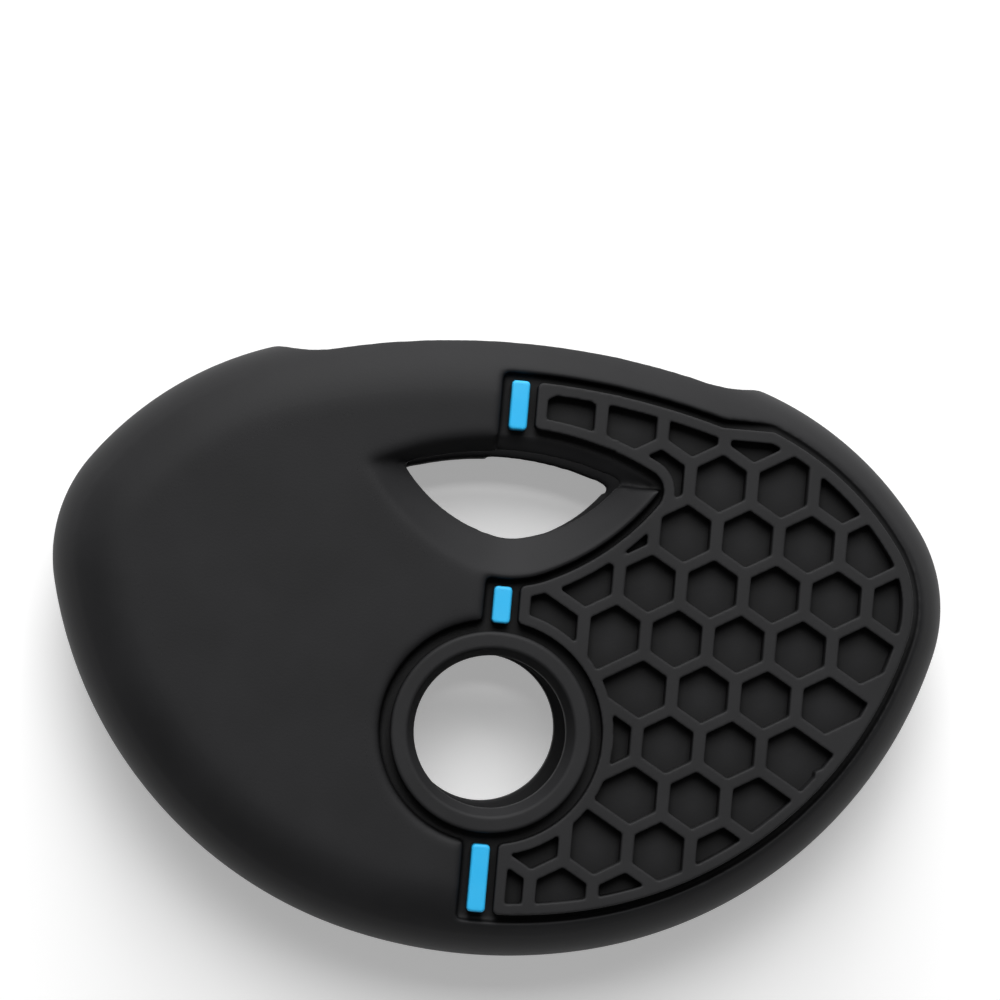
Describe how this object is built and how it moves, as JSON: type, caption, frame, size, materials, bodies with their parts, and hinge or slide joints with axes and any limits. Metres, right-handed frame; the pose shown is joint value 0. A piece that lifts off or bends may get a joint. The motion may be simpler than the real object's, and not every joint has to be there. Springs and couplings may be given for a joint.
{
  "type": "key fob cover",
  "caption": "Soft rounded sleeve for a key fob, with a mouth along the top edge, a button hole, a fan-shaped opening, honeycomb grip pads and blue accent bars.",
  "frame": {"origin": "on the button hole's axis, at the height of the seam between the two halves", "axes": "+X towards the honeycomb grip, along the cover's width; +Y towards the mouth; +Z out of the front face"},
  "size_m": [0.066, 0.0454, 0.015],
  "materials": {
    "silicone": "matt black moulded silicone with a fine even grain",
    "grip": "matt black moulded silicone, slightly rubbed on the raised ribs",
    "accent": "satin light-blue coloured silicone"
  },
  "bodies": {
    "sleeve": {"front_shell": "silicone", "rear_shell": "silicone", "front_grip": "grip", "rear_grip": "grip", "front_ring": "grip", "rear_ring": "grip", "front_bar_middle": "accent", "front_bar_base": "accent", "rear_bar_middle": "accent", "rear_bar_base": "accent"},
    "front_lip": {"front_lip": "silicone", "front_lip_grip": "grip", "front_bar_top": "accent"},
    "rear_lip": {"rear_lip": "silicone", "rear_lip_grip": "grip", "rear_bar_top": "accent"}
  },
  "joints": [
    {"name": "front_lip_flex", "type": "slide", "parent": "sleeve", "child": "front_lip", "axis": [0, 0, 1], "range_m": [0, 0.0025], "stiffness_N_per_m": 300},
    {"name": "rear_lip_flex", "type": "slide", "parent": "sleeve", "child": "rear_lip", "axis": [0, 0, -1], "range_m": [0, 0.0025], "stiffness_N_per_m": 300}
  ]
}
